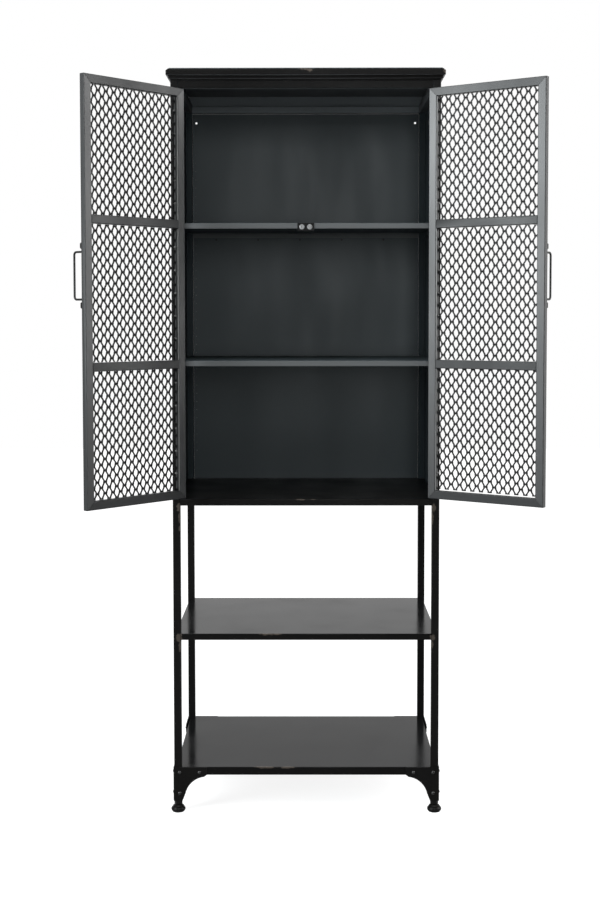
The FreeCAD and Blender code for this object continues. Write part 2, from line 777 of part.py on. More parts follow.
def make_handle():
    plate_face = door_outer - size.handle_plate_thickness
    half_plate = size.handle_rod_height / 2 + size.handle_plate_overhang
    body = new_body("left_door_handle_plate")
    strip = new_sketch(body, "handle_strip", "XZ_Plane")
    draw_rectangle(strip, -size.handle_plate_width / 2, -half_plate,
                   size.handle_plate_width / 2, half_plate)
    pad(body, strip, size.handle_plate_thickness)
    pads = new_sketch(body, "handle_pads", "XZ_Plane")
    half_pad = size.handle_pad_width / 2
    for bottom in (-half_plate, half_plate - size.handle_pad_height):
        draw_broken_rectangle(pads, -half_pad, bottom, half_pad,
                              bottom + size.handle_pad_height, size.handle_pad_corner)
    pad(body, pads, size.handle_pad_thickness)
    place = (rod_x, door_outer, handle_centre_height)
    keep(body, "left_door_handle_plate", on_door(*place))

    body = new_body("left_door_handle_rod")
    leg = size.handle_rod_height / 2
    reach = size.handle_reach
    bend = size.handle_bend
    start = size.handle_plate_thickness
    path = new_sketch(body, "handle_path", "YZ_Plane")
    lower = [(bend * (1 - math.sin(turn)) - reach, bend * (1 - math.cos(turn)) - leg)
             for turn in BEND_TURNS]
    upper = [(out, -height) for out, height in reversed(lower)]
    draw_path(path, [(-start, -leg), *lower, *upper, (-start, leg)])
    section = new_sketch(body, "handle_section", "XZ_Plane", start)
    draw_polygon(section, ZERO, -leg, size.handle_rod_diameter, ROD_SIDES)
    doc.recompute()
    rod = body.newObject("PartDesign::AdditivePipe", "handle_rod")
    rod.Profile = section
    rod.Spine = (path, [f"Edge{number}" for number in range(1, len(path.Shape.Edges) + 1)])
    rod.Transition = "Right corner"
    keep(body, "left_door_handle_rod", on_door(*place))

    heads = []
    for number, side in enumerate((-1, 1)):
        head = make_head(f"handle_screw_{number}", size.screw_head_diameter,
                         size.screw_head_height)
        height = side * (half_plate - size.handle_pad_height / 2) + handle_centre_height
        place = placed(rod_x, door_outer - size.handle_pad_thickness, height, *FACING_FRONT)
        head.setExpression("Placement", place)
        heads.append(head)
    group("left_door_handle_screws", heads, LEFT_DOOR)


# Lift-off hinges: the post's half carries the pin, the door's half hangs on it

def make_knuckle(name, leaf_side):
    """A barrel with a flat leaf on the door's or the post's front face."""
    body = new_body(name)
    barrel = new_sketch(body, name + "_barrel")
    draw_circle(barrel, ZERO, ZERO, size.knuckle_diameter)
    pad(body, barrel, size.knuckle_height)
    leaf = new_sketch(body, name + "_leaf")
    far = leaf_side * (door_start + size.leaf_width)
    low, high = (far, ZERO) if leaf_side < 0 else (ZERO, far)
    draw_rectangle(leaf, low, door_outer - size.leaf_thickness, high, door_outer)
    pad(body, leaf, size.knuckle_height)
    return body


def make_hinges():
    post_halves = []
    door_halves = []
    half_gap = size.knuckle_gap / 2
    for number, z in enumerate((door_bottom + size.hinge_end_distance,
                                door_top - size.hinge_end_distance)):
        post_half = make_knuckle(f"post_knuckle_{number}", -1)
        pin = new_sketch(post_half, f"hinge_pin_{number}")
        draw_circle(pin, ZERO, ZERO, size.pin_diameter)
        pad(post_half, pin, size.knuckle_height + size.pin_length)
        place = placed(-pivot_x, -pivot_y, z - half_gap - size.knuckle_height)
        post_half.setExpression("Placement", place)
        post_halves.append(post_half)
        door_half = make_knuckle(f"door_knuckle_{number}", 1)
        bore = new_sketch(door_half, f"hinge_bore_{number}")
        draw_circle(bore, ZERO, ZERO, size.pin_diameter + 2 * size.pin_clearance)
        pocket(door_half, bore, size.pin_length, reverse=True)
        door_half.setExpression("Placement", placed(ZERO, ZERO, z + half_gap))
        door_halves.append(door_half)
    group("left_hinge_post_knuckles", post_halves)
    group("left_hinge_door_knuckles", door_halves, LEFT_DOOR)


# Magnetic catch under the upper interior shelf's front edge

POT_SIDES = 16


def make_catch():
    plate = doc.addObject("Part::Box", "catch_plate_box")
    bind(plate, "Length", size.catch_width)
    bind(plate, "Width", size.catch_thickness)
    bind(plate, "Height", size.catch_height)
    plate_front = interior_front - size.catch_thickness
    keep(plate, "catch_plate", placed(-size.catch_width / 2, plate_front,
                                      upper_interior_top - size.catch_height))
    middle = upper_interior_top - size.catch_height / 2
    face = -half_depth + size.door_tube_depth + size.magnet_clearance
    thickness = plate_front - face
    magnets = []
    for number, side in enumerate((-1, 1)):
        x = side * size.magnet_spacing / 2
        magnet = new_body(f"magnet_{number}")
        pot = new_sketch(magnet, f"magnet_pot_{number}")
        draw_polygon(pot, ZERO, ZERO, size.magnet_diameter, POT_SIDES)
        pad(magnet, pot, thickness)
        magnet.setExpression("Placement", placed(x, plate_front, middle, *FACING_FRONT))
        magnets.append(magnet)
    group("catch_magnets", magnets)


# Corner brackets: folded plates with a swept lower edge, riveted round each corner

def bracket_outline(low):
    """From the corner outwards along the arm, then up from the floor."""
    top = size.bottom_shelf_top
    arm = size.bracket_arm
    lip = top - size.bracket_end_height
    return [
        (-size.bracket_sheet, low), (size.bracket_foot_width, low),
        (size.bracket_throat_width, top - size.bracket_throat_drop, -size.bracket_sweep_radius),
        (arm - size.bracket_lip_run, lip - size.bracket_lip_drop),
        (arm, lip), (arm, top), (-size.bracket_sheet, top)]


def make_brackets():
    name = "front_left_corner_bracket"
    body = new_body(name)
    front = new_sketch(body, name + "_front", "XZ_Plane")
    draw_outline(front, bracket_outline(size.foot_height))
    pad(body, front, size.bracket_sheet)
    side = new_sketch(body, name + "_side", "YZ_Plane")
    draw_outline(side, bracket_outline(size.foot_height))
    wrapped = pad(body, side, size.bracket_sheet, reverse=True)
    round_edges(body, wrapped, size.bracket_bend, lambda middle, way: abs(way.z) > PARALLEL_SHARE
                and close_to(middle.x, size.bracket_sheet) and close_to(middle.y, size.bracket_sheet))
    keep(body, name, placed(-half_width, -half_depth, ZERO))
    mirrored(body, "front_right_corner_bracket")
    rear = mirrored(body, "rear_left_corner_bracket", normal=(0, 1, 0))
    mirrored(rear, "rear_right_corner_bracket")

    high = size.bottom_shelf_top - size.rivet_edge
    low = size.bottom_shelf_top - size.rivet_low_drop
    rivets = []
    for along, z in ((size.rivet_edge, high), (size.rivet_arm_distance, high), (size.rivet_edge, low)):
        spots = ((along - half_width, -half_depth - size.bracket_sheet, FACING_FRONT),
                 (-half_width - size.bracket_sheet, along - half_depth, FACING_LEFT))
        for x, y, turn in spots:
            number = len(rivets)
            rivet = make_head(f"rivet_{number}", size.rivet_diameter, size.rivet_height)
            rivet.setExpression("Placement", placed(x, y, z, *turn))
            rivets.append(rivet)
    corner = doc.addObject("Part::Compound", "corner_rivets")
    corner.Links = rivets
    left_rear = doc.addObject("Part::Mirroring", "rear_corner_rivets")
    left_rear.Source = corner
    left_rear.Normal = (0, 1, 0)
    left = doc.addObject("Part::Compound", "left_rivets")
    left.Links = [corner, left_rear]
    right = doc.addObject("Part::Mirroring", "right_rivets")
    right.Source = left
    right.Normal = (1, 0, 0)
    group("bracket_rivets", [left, right])


# Levelling feet: a round foot, a hexagon to turn it by, and a stem up into the post

HEXAGON_CORNER_SHARE = 2 / math.sqrt(3)    # width over corners, of that across flats
HEXAGON_SIDES = 6
FOOT_SIDES = 20
STEM_SIDES = 12


def make_levelling_foot(name):
    body = new_body(name)
    disc = new_sketch(body, name + "_disc")
    draw_polygon(disc, ZERO, ZERO, size.foot_diameter, FOOT_SIDES)
    pad(body, disc, size.foot_edge_height)
    crown = new_sketch(body, name + "_crown", lift=size.foot_edge_height)
    draw_polygon(crown, ZERO, ZERO, size.foot_diameter, FOOT_SIDES)
    slope = pad(body, crown, size.foot_hub_height - size.foot_edge_height)
    bind(slope, "TaperAngle", -size.foot_slope)
    nut = new_sketch(body, name + "_nut", lift=size.foot_hub_height)
    draw_polygon(nut, ZERO, ZERO, size.nut_across_flats * HEXAGON_CORNER_SHARE, HEXAGON_SIDES)
    pad(body, nut, size.foot_height - size.foot_hub_height)
    stem = new_sketch(body, name + "_stem", lift=size.foot_height)
    draw_polygon(stem, ZERO, ZERO, size.stem_diameter, STEM_SIDES)
    pad(body, stem, size.stem_length)
    return body


def make_feet():
    feet = []
    for y in (-post_y, post_y):
        for x in (-post_x, post_x):
            foot = make_levelling_foot(f"foot_{len(feet)}")
            foot.setExpression("Placement", placed(x, y, ZERO))
            feet.append(foot)
    group("levelling_feet", feet)


def mirror_door():
    """The right door is the left one mirrored, and swung a little wider."""
    for piece in list(nodes):
        if piece.Label.startswith("left_door_") or piece.Label == "left_hinge_door_knuckles":
            mirrored(piece, piece.Label.replace("left", "right", 1), WIDER_ON_THE_RIGHT)
        elif piece.Label == "left_hinge_post_knuckles":
            mirrored(piece, "right_hinge_post_knuckles")


def check_all():
    doc.recompute()
    for thing in doc.Objects:
        if "Invalid" in thing.State or "Error" in thing.State:
            raise RuntimeError(f"{thing.Name} failed: {thing.State}")
    for node in nodes:
        shape = node.Shape
        if shape.isNull() or not shape.isValid() or not shape.Solids:
            raise RuntimeError(f"{node.Label} has no valid solid")


def write_parts():
    os.makedirs("parts", exist_ok=True)
    for node in nodes:
        node.Shape.exportStep(f"parts/{node.Label}.step")


make_frame()
make_shelves()
make_walls()
make_cornice()
make_top_sheet()
make_door_frame()
make_mesh_panels()
make_handle()
make_hinges()
mirror_door()
make_catch()
make_brackets()
make_feet()
check_all()
write_parts()
print(len(nodes), "nodes written")
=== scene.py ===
import json
import math

import bmesh
import bpy
from mathutils import Matrix, Vector


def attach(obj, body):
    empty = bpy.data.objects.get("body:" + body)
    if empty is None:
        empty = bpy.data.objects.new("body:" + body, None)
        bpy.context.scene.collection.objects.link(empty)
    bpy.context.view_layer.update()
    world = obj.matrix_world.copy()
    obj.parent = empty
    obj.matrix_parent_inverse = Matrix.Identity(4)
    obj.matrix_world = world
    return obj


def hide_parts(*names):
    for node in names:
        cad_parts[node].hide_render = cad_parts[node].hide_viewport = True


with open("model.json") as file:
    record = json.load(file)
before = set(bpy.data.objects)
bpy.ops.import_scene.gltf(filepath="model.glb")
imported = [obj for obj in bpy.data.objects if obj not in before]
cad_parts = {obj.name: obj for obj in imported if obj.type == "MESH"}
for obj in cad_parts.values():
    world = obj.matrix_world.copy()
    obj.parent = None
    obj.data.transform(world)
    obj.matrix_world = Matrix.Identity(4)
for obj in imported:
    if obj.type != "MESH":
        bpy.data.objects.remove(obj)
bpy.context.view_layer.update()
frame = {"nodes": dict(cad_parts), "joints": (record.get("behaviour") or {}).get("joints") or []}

MM = 0.001
PHOTO_WIDTH = 600
PHOTO_HEIGHT = 900
OPEN_TURN = {"left": math.radians(-132.4), "right": math.radians(145.5)}
SIDES = ("left", "right")
LEVELS = ("upper", "middle", "lower")


# Camera

def aim_camera():
    """The photograph's viewpoint: a long lens a little above the middle, shifted down."""
    focal_pixels = 1391.59
    middle_across = 301.515
    middle_down = 388.648
    pitch = math.radians(3.011)
    yaw = math.radians(-0.186)
    roll = math.radians(0.059)
    place = Vector((0.246, -3534.229, 1203.397)) * MM
    forward = Vector((math.sin(yaw) * math.cos(pitch), math.cos(yaw) * math.cos(pitch), -math.sin(pitch)))
    level_right = Vector((math.cos(yaw), -math.sin(yaw), 0))
    level_down = forward.cross(level_right)
    right = math.cos(roll) * level_right + math.sin(roll) * level_down
    down = math.cos(roll) * level_down - math.sin(roll) * level_right
    data = bpy.data.cameras.new("photo_camera")
    data.sensor_fit = "HORIZONTAL"
    data.lens = focal_pixels / PHOTO_WIDTH * data.sensor_width
    data.shift_x = (PHOTO_WIDTH / 2 - middle_across) / PHOTO_WIDTH
    data.shift_y = (middle_down - PHOTO_HEIGHT / 2) / PHOTO_WIDTH
    camera = bpy.data.objects.new("photo_camera", data)
    bpy.context.scene.collection.objects.link(camera)
    turn = Matrix((right, -down, -forward)).transposed()
    camera.matrix_world = Matrix.Translation(place) @ turn.to_4x4()
    bpy.context.scene.camera = camera


# Materials

BEND_STARTS = 0.995     # cosine between a face's normal and its rounded one, at a worn edge
BEND_FULL = 0.90
PATCH_ENDS = 1.05       # distance from a worn patch's centre, in its reaches
PATCH_FULL = 0.9
# INWARD_* choose the faces that get painted light inside the cupboard.
INWARD_STARTS = 0.12    # cosine between a face's normal and the way to the cupboard's middle
INWARD_FULL = 0.18
# AHEAD_* choose the faces that get a painted light or shade colour at the front.
AHEAD_STARTS = -0.6     # Y part of a face's normal that looks to the front
AHEAD_FULL = -0.9


class Finish:
    """A material being made, with short calls for the nodes that it needs."""

    def __init__(self, name):
        self.material = bpy.data.materials.new(name)
        self.material.use_nodes = True
        self.tree = self.material.node_tree
        self.shader = self.tree.nodes["Principled BSDF"]
        self.place = self.add("ShaderNodeTexCoord").outputs["Object"]

    def add(self, kind, **settings):
        """A new node with its settings."""
        node = self.tree.nodes.new(kind)
        for name, value in settings.items():
            setattr(node, name, value)
        return node

    def feed(self, value, socket):
        """Link a node's output to a socket, or give the socket a plain value."""
        if isinstance(value, bpy.types.NodeSocket):
            self.tree.links.new(value, socket)
        elif value is not None:
            socket.default_value = value

    def noise(self, scale, detail, stretch=None):
        """Noise in space that rides on the object, scale in waves to a metre."""
        place = self.place
        if stretch:
            mapping = self.add("ShaderNodeMapping")
            self.feed(place, mapping.inputs["Vector"])
            mapping.inputs["Scale"].default_value = stretch
            place = mapping.outputs["Vector"]
        node = self.add("ShaderNodeTexNoise")
        self.feed(place, node.inputs["Vector"])
        node.inputs["Scale"].default_value = scale
        node.inputs["Detail"].default_value = detail
        return node.outputs["Fac"]

    def math(self, operation, *values):
        """The outcome of one sum."""
        node = self.add("ShaderNodeMath", operation=operation)
        for value, socket in zip(values, node.inputs):
            self.feed(value, socket)
        return node.outputs[0]

    def spread(self, value, low, high, to_low=0.0, to_high=1.0):
        """Bring the part of a value between low and high to a new range."""
        node = self.add("ShaderNodeMapRange")
        for name, item in (("Value", value), ("From Min", low), ("From Max", high),
                           ("To Min", to_low), ("To Max", to_high)):
            self.feed(item, node.inputs[name])
        return node.outputs["Result"]

    def blend(self, share, first, second):
        """The first colour where share is zero and the second where it is one."""
        node = self.add("ShaderNodeMix", data_type="RGBA")
        self.feed(share, node.inputs["Factor"])
        self.feed(first, node.inputs["A"])
        self.feed(second, node.inputs["B"])
        return node.outputs["Result"]

    def bump(self, height, depth, before=None):
        """A surface raised by height times depth, on top of the bumps before it."""
        node = self.add("ShaderNodeBump")
        self.feed(height, node.inputs["Height"])
        self.feed(before, node.inputs["Normal"])
        node.inputs["Distance"].default_value = depth
        return node.outputs["Normal"]

    def worn_edges(self, reach, low, high):
        """One where two faces meet at an edge, broken up so that it comes and goes."""
        rounded = self.add("ShaderNodeBevel", samples=4)
        rounded.inputs["Radius"].default_value = reach
        plain = self.add("ShaderNodeNewGeometry").outputs["Normal"]
        dot = self.add("ShaderNodeVectorMath", operation="DOT_PRODUCT")
        self.feed(rounded.outputs["Normal"], dot.inputs[0])
        self.feed(plain, dot.inputs[1])
        edge = self.spread(dot.outputs["Value"], BEND_STARTS, BEND_FULL)
        broken = self.spread(self.noise(EDGE_SCALE, detail=5.0), low, high)
        return self.math("MULTIPLY", edge, broken)

    def patch(self, centre, reach, ragged):
        """One inside a ragged patch round a place, as far each way as reach says."""
        away = self.add("ShaderNodeVectorMath", operation="SUBTRACT")
        self.feed(self.place, away.inputs[0])
        away.inputs[1].default_value = centre
        scaled = self.add("ShaderNodeVectorMath", operation="MULTIPLY")
        self.feed(away.outputs["Vector"], scaled.inputs[0])
        scaled.inputs[1].default_value = tuple(1 / length for length in reach)
        length = self.add("ShaderNodeVectorMath", operation="LENGTH")
        self.feed(scaled.outputs["Vector"], length.inputs[0])
        return self.spread(self.math("ADD", length.outputs["Value"], ragged), PATCH_ENDS, PATCH_FULL)

    def inside(self, centre, above):
        """One on faces that look to a centre and lie above a height: where light is painted inside the
        cupboard.
        """
        split = self.add("ShaderNodeSeparateXYZ")
        self.feed(self.place, split.inputs[0])
        high = self.math("GREATER_THAN", split.outputs["Z"], above)
        toward = self.add("ShaderNodeVectorMath", operation="SUBTRACT")
        toward.inputs[0].default_value = centre
        self.feed(self.place, toward.inputs[1])
        way = self.add("ShaderNodeVectorMath", operation="NORMALIZE")
        self.feed(toward.outputs["Vector"], way.inputs[0])
        dot = self.add("ShaderNodeVectorMath", operation="DOT_PRODUCT")
        self.feed(way.outputs["Vector"], dot.inputs[0])
        self.feed(self.add("ShaderNodeNewGeometry").outputs["Normal"], dot.inputs[1])
        return self.math("MULTIPLY", high, self.spread(dot.outputs["Value"], INWARD_STARTS, INWARD_FULL))

    def facing_front(self):
        """One on faces that look to the front of the closed object: where a painted light or shade colour
        goes.
        """
        split = self.add("ShaderNodeSeparateXYZ")
        self.feed(self.add("ShaderNodeNewGeometry").outputs["Normal"], split.inputs[0])
        return self.spread(split.outputs["Y"], AHEAD_STARTS, AHEAD_FULL)


BARE_STEEL = (0.062, 0.052, 0.044, 1)
LIGHTER = 1.45            # paint's lighter clouds, of its own colour
STAINED = 0.55            # plated steel's stains, of its own colour
CLOUD_SCALE = 7.0
CLOUD_RANGE = (0.35, 0.7)
SPECK_SCALE = 420.0
SPECK_RANGE = (0.62, 0.78)
SPECK_SHARE = 0.25        # of bare steel, in a speck
STAIN_RANGE = (0.45, 0.7)
NOISE_RANGE = (0.3, 0.7)  # most of a noise lies between these
EDGE_SCALE = 38.0
EDGE_REACH = 1.6 * MM     # how wide an edge wears
RAGGED_SCALE = 150.0
RAGGED = 0.45             # how far a worn patch's outline goes in and out, in its reaches
WORN_ROUGHER = 0.12
WORN_METALLIC = 0.5
STREAK_SCALE = 9.0
STREAK_STRETCH = (1.0, 1.0, 0.25)
GLOSSIER = 0.05           # how far roughness falls in a streak, and how far it rises
DULLER = 0.07
SMEARED = 0.2             # how far it rises in a smear on plated steel
PEEL_SCALE = 900.0
PEEL_DEPTH = 0.02 * MM
WAVE_SCALE = 14.0
CHIP_DEPTH = 0.05 * MM
MARK_DEPTH = 0.03 * MM
FRONT_SPECULAR = 0.06
CUPBOARD_MIDDLE = (0, 0, 1600 * MM)
CUPBOARD_FLOOR = 765 * MM
WORN_PLACES = [      # centre and reach, both in mm, of each place rubbed through
    ((-304, -214, 744), (7, 8, 9)), ((-303, -214, 718), (3, 8, 17)), ((-303, -214, 692), (3, 8, 8)),
    ((305, -214, 742), (6, 8, 10)), ((303, -214, 718), (3, 8, 13)),
    ((-306, -215, 427), (8, 8, 8)), ((-304, -214, 408), (4, 8, 14)),
    ((305, -214, 428), (6, 8, 8)), ((304, -214, 412), (3, 8, 9)),
    ((-95, -215, 437), (14, 5, 4)), ((-70, -215, 437), (9, 4, 3)),
    ((-100, -215, 110), (22, 6, 3)), ((-45, -215, 110), (16, 6, 3)),
    ((-6, -226, 1785), (17, 7, 4)), ((10, -223, 1781), (7, 5, 4)), ((329, -224, 1777), (4, 9, 6)),
    ((-12, -215, 764), (14, 6, 3)), ((18, -215, 764), (5, 4, 3)),
]


def paint(name, colour, roughness, specular, wear=(0.62, 0.74), places=(), front=None, inside_light=None,
          waviness=0.12):
    """Hard semi-gloss paint on sheet steel, a little uneven, rubbed through at its edges.

    wear is the range of noise that lets an edge wear, and places are rubbed through besides.
    The colour given for faces that look into the cupboard is painted light, and the one for faces that look
    ahead is painted light or shade; those faces also take FRONT_SPECULAR.
    waviness is the depth of the paint's slow waves, in mm.
    """
    finish = Finish(name)
    lighter = tuple(channel * LIGHTER for channel in colour[:3]) + (1,)
    clouds = finish.spread(finish.noise(CLOUD_SCALE, detail=5.0), *CLOUD_RANGE)
    specks = finish.spread(finish.noise(SPECK_SCALE, detail=2.0), *SPECK_RANGE)
    coat = finish.blend(clouds, colour, lighter)
    # Painted light: faces that look into the cupboard take a lighter colour.
    if inside_light:
        inside_lit = finish.inside(CUPBOARD_MIDDLE, CUPBOARD_FLOOR)
        coat = finish.blend(inside_lit, coat, inside_light)
    # Painted light or shade: faces that look ahead take their own colour and specular level.
    if front:
        ahead = finish.facing_front()
        coat = finish.blend(ahead, coat, front)
        specular = finish.spread(ahead, 0.0, 1.0, specular, FRONT_SPECULAR)
    coat = finish.blend(finish.math("MULTIPLY", specks, SPECK_SHARE), coat, BARE_STEEL)
    worn = finish.worn_edges(EDGE_REACH, *wear)
    # No wear is drawn where the inside light is painted.
    if inside_light:
        worn = finish.math("MULTIPLY", worn, finish.math("SUBTRACT", 1.0, inside_lit))
    if places:
        ragged = finish.spread(finish.noise(RAGGED_SCALE, detail=5.0), *NOISE_RANGE, -RAGGED, RAGGED)
        for centre, reach in places:
            spot = finish.patch(Vector(centre) * MM, Vector(reach) * MM, ragged)
            worn = finish.math("MAXIMUM", worn, spot)
        worn = finish.math("MINIMUM", worn, 1.0)
    shader = finish.shader.inputs
    finish.feed(finish.blend(worn, coat, BARE_STEEL), shader["Base Color"])
    streaks = finish.noise(STREAK_SCALE, detail=4.0, stretch=STREAK_STRETCH)
    gloss = finish.spread(streaks, *NOISE_RANGE, roughness - GLOSSIER, roughness + DULLER)
    finish.feed(finish.math("MULTIPLY_ADD", worn, WORN_ROUGHER, gloss), shader["Roughness"])
    finish.feed(finish.math("MULTIPLY", worn, WORN_METALLIC), shader["Metallic"])
    finish.feed(specular, shader["Specular IOR Level"])
    peel = finish.bump(finish.noise(PEEL_SCALE, detail=2.0), PEEL_DEPTH)
    waves = finish.bump(finish.noise(WAVE_SCALE, detail=2.0), waviness * MM, peel)
    chipped = finish.bump(finish.math("MULTIPLY", worn, -1.0), CHIP_DEPTH, waves)
    finish.feed(chipped, shader["Normal"])
    return finish.material


def steel(name, colour, roughness, scale):
    """Plated steel with fine marks and small stains."""
    finish = Finish(name)
    shader = finish.shader.inputs
    darker = tuple(channel * STAINED for channel in colour[:3]) + (1,)
    stains = finish.spread(finish.noise(scale, detail=6.0), *STAIN_RANGE)
    finish.feed(finish.blend(stains, colour, darker), shader["Base Color"])
    smears = finish.noise(scale * 3, detail=4.0)
    finish.feed(finish.spread(smears, *NOISE_RANGE, roughness, roughness + SMEARED), shader["Roughness"])
    shader["Metallic"].default_value = 1.0
    marks = finish.noise(scale * 5, detail=2.0)
    finish.feed(finish.bump(marks, MARK_DEPTH), shader["Normal"])
    return finish.material


FRAME_BLACK = (0.0042, 0.0040, 0.0039, 1)
PANEL_BLACK = (0.0060, 0.0060, 0.0062, 1)
# Painted light: a lighter grey for faces inside the cupboard and for the inner shelves, standing for the
# light on the same black paint.
INSIDE_PAINTED_LIGHT = (0.027, 0.036, 0.040, 1)
# Painted light: a lighter grey for the faces under and inside the header.
HEADER_PAINTED_LIGHT = (0.095, 0.100, 0.104, 1)
# Painted light: a lighter grey for the front faces of the top sheet's rear flange and the rear top rail.
REAR_HEADER_PAINTED_LIGHT = (0.16, 0.175, 0.183, 1)
SHELF_BLACK = (0.0060, 0.0062, 0.0065, 1)
# Painted light: a lighter grey on the inner shelves' front edges.
SHELF_FRONT_PAINTED_LIGHT = (0.090, 0.095, 0.097, 1)
DOOR_GREY = (0.0105, 0.0113, 0.0118, 1)
MESH_BLACK = (0.0045, 0.0045, 0.0047, 1)
WELD_GREY = (0.09, 0.09, 0.088, 1)
# Painted highlight: the light grey of the strips that stand for the glint on the hinge stile's rounded
# edge.
STRIP_PAINTED_HIGHLIGHT = (0.20, 0.20, 0.197, 1)
MAGNET_GREY = (0.33, 0.33, 0.33, 1)
SCREW_GREY = (0.35, 0.34, 0.33, 1)

finishes = {
    # Painted light on the frame's faces that look into the cupboard.
    "frame": paint("frame_paint", FRAME_BLACK, roughness=0.34, specular=0.06, wear=(0.66, 0.78),
                   places=WORN_PLACES, inside_light=INSIDE_PAINTED_LIGHT),
    # Painted light on the header's faces that look into the cupboard.
    "header": paint("header_paint", FRAME_BLACK, roughness=0.34, specular=0.045, wear=(0.66, 0.78),
                    places=WORN_PLACES, inside_light=HEADER_PAINTED_LIGHT),
    # Painted light on the rear header's faces that look ahead and into the cupboard.
    "rear_header": paint("rear_header_painted_light", FRAME_BLACK, roughness=0.34, specular=0.045,
                         wear=(0.8, 0.95), inside_light=HEADER_PAINTED_LIGHT, front=REAR_HEADER_PAINTED_LIGHT),
    # Painted light on the panels' faces that look into the cupboard.
    "inner": paint("cupboard_paint_and_inside_light", PANEL_BLACK, roughness=0.36, specular=0.22, wear=(0.78, 0.95),
                   inside_light=INSIDE_PAINTED_LIGHT),
    # Painted light: the inner shelves are a lighter grey all over.
    "shelf": paint("inner_shelf_painted_light", INSIDE_PAINTED_LIGHT, roughness=0.45, specular=0.30, wear=(0.70, 0.85),
                   # Painted light on the inner shelves' front edges.
                   front=SHELF_FRONT_PAINTED_LIGHT),
    # Painted shade: the open shelves' faces that look ahead take a darker black and another specular level.
    "open_shelf": paint("open_shelf_paint_and_front_shade", SHELF_BLACK, roughness=0.15, specular=0.052,
                        places=WORN_PLACES, front=FRAME_BLACK, waviness=0.03),
    "stile": paint("door_stile_paint", DOOR_GREY, roughness=0.36, specular=0.58, wear=(0.68, 0.82)),
    "rail": paint("door_rail_paint", DOOR_GREY, roughness=0.37, specular=0.34, wear=(0.68, 0.82)),
    "mesh": paint("mesh_paint", MESH_BLACK, roughness=0.45, specular=0.20, wear=(0.72, 0.9)),
    "handle": paint("handle_paint", FRAME_BLACK, roughness=0.35, specular=0.30, wear=(0.55, 0.75)),
    "rivets": paint("rivet_paint", FRAME_BLACK, roughness=0.16, specular=0.55, wear=(0.7, 0.85),
                    waviness=0.0),
    "feet": paint("foot_paint", FRAME_BLACK, roughness=0.30, specular=0.12, wear=(0.6, 0.75)),
    "weld": paint("weld_paint", WELD_GREY, roughness=0.34, specular=0.55, wear=(0.5, 0.7)),
    # Painted highlight along the grilles' hinge edge.
    "strip": paint("grille_strip_painted_highlight", STRIP_PAINTED_HIGHLIGHT, roughness=0.34, specular=0.55, wear=(0.6, 0.8)),
    "magnets": steel("magnet_plating", MAGNET_GREY, roughness=0.42, scale=90.0),
    "screws": steel("screw_plating", SCREW_GREY, roughness=0.35, scale=160.0),
}


def dress(thing, finish):
    """Give a piece one finish in place of what it has."""
    thing.data.materials.clear()
    thing.data.materials.append(finishes[finish])


# Shapes

MERGED = 0.005 * MM     # CAD points that lie closer than this are one
HEAD_SIDES = 20
SPOT_SIDES = 12
POT_SIDES = 32
FOOT_SIDES = 40
NUT_SIDES = 6


def solid(name, mesh, finish, body, replaced=(), smooth=40):
    """Turn a finished bmesh into a piece that rides on a body, with edges over smooth degrees sharp."""
    data = bpy.data.meshes.new(name)
    bmesh.ops.recalc_face_normals(mesh, faces=mesh.faces)
    mesh.to_mesh(data)
    mesh.free()
    thing = bpy.data.objects.new(name, data)
    bpy.context.scene.collection.objects.link(thing)
    data.shade_smooth()
    data.set_sharp_from_angle(angle=math.radians(smooth))
    dress(thing, finish)
    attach(thing, body)
    if replaced:
        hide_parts(*replaced)
    return thing


def move(mesh, vertices, matrix):
    """Bring points of a bmesh through a matrix."""
    bmesh.ops.transform(mesh, matrix=matrix, verts=vertices)


def door_matrix(side):
    """From a shut left door's own frame, hinge axis at its origin, to the open door."""
    joint = [joint for joint in frame["joints"] if joint["name"] == f"{side}_door_hinge"][0]
    x, y, _ = joint["pos_m"]
    mirror = Matrix.Scale(-1, 4, (1, 0, 0)) if side == "right" else Matrix.Identity(4)
    return Matrix.Translation((x, y, 0)) @ Matrix.Rotation(OPEN_TURN[side], 4, "Z") @ mirror


def islands(node, matrix=Matrix.Identity(4)):
    """The box of each separate solid of a CAD node, in the frame that the matrix leads from."""
    mesh = bmesh.new()
    mesh.from_mesh(frame["nodes"][node].data)
    bmesh.ops.remove_doubles(mesh, verts=mesh.verts, dist=MERGED)
    back = matrix.inverted()
    left = set(mesh.verts)
    boxes = []
    while left:
        front = [left.pop()]
        points = []
        while front:
            vertex = front.pop()
            points.append(back @ vertex.co)
            for edge in vertex.link_edges:
                other = edge.other_vert(vertex)
                if other in left:
                    left.remove(other)
                    front.append(other)
        low = Vector(min(point[axis] for point in points) for axis in range(3))
        high = Vector(max(point[axis] for point in points) for axis in range(3))
        boxes.append((low, high))
    mesh.free()
    return boxes


def lathe(mesh, profile, steps, matrix):
    """Turn a profile of (radius, height) pairs round the Z axis, then put it in place."""
    rings = []
    for radius, height in profile:
        if radius == 0:
            rings.append([mesh.verts.new((0, 0, height))])
            continue
        turns = [math.tau * step / steps for step in range(steps)]
        rings.append([mesh.verts.new((radius * math.cos(turn), radius * math.sin(turn), height))
                      for turn in turns])
    for low, high in zip(rings, rings[1:]):
        for step in range(steps):
            after = (step + 1) % steps
            if len(low) == 1:
                mesh.faces.new((low[0], high[after], high[step]))
            elif len(high) == 1:
                mesh.faces.new((low[step], low[after], high[0]))
            else:
                mesh.faces.new((low[step], low[after], high[after], high[step]))
    vertices = [vertex for ring in rings for vertex in ring]
    move(mesh, vertices, matrix)
    return vertices


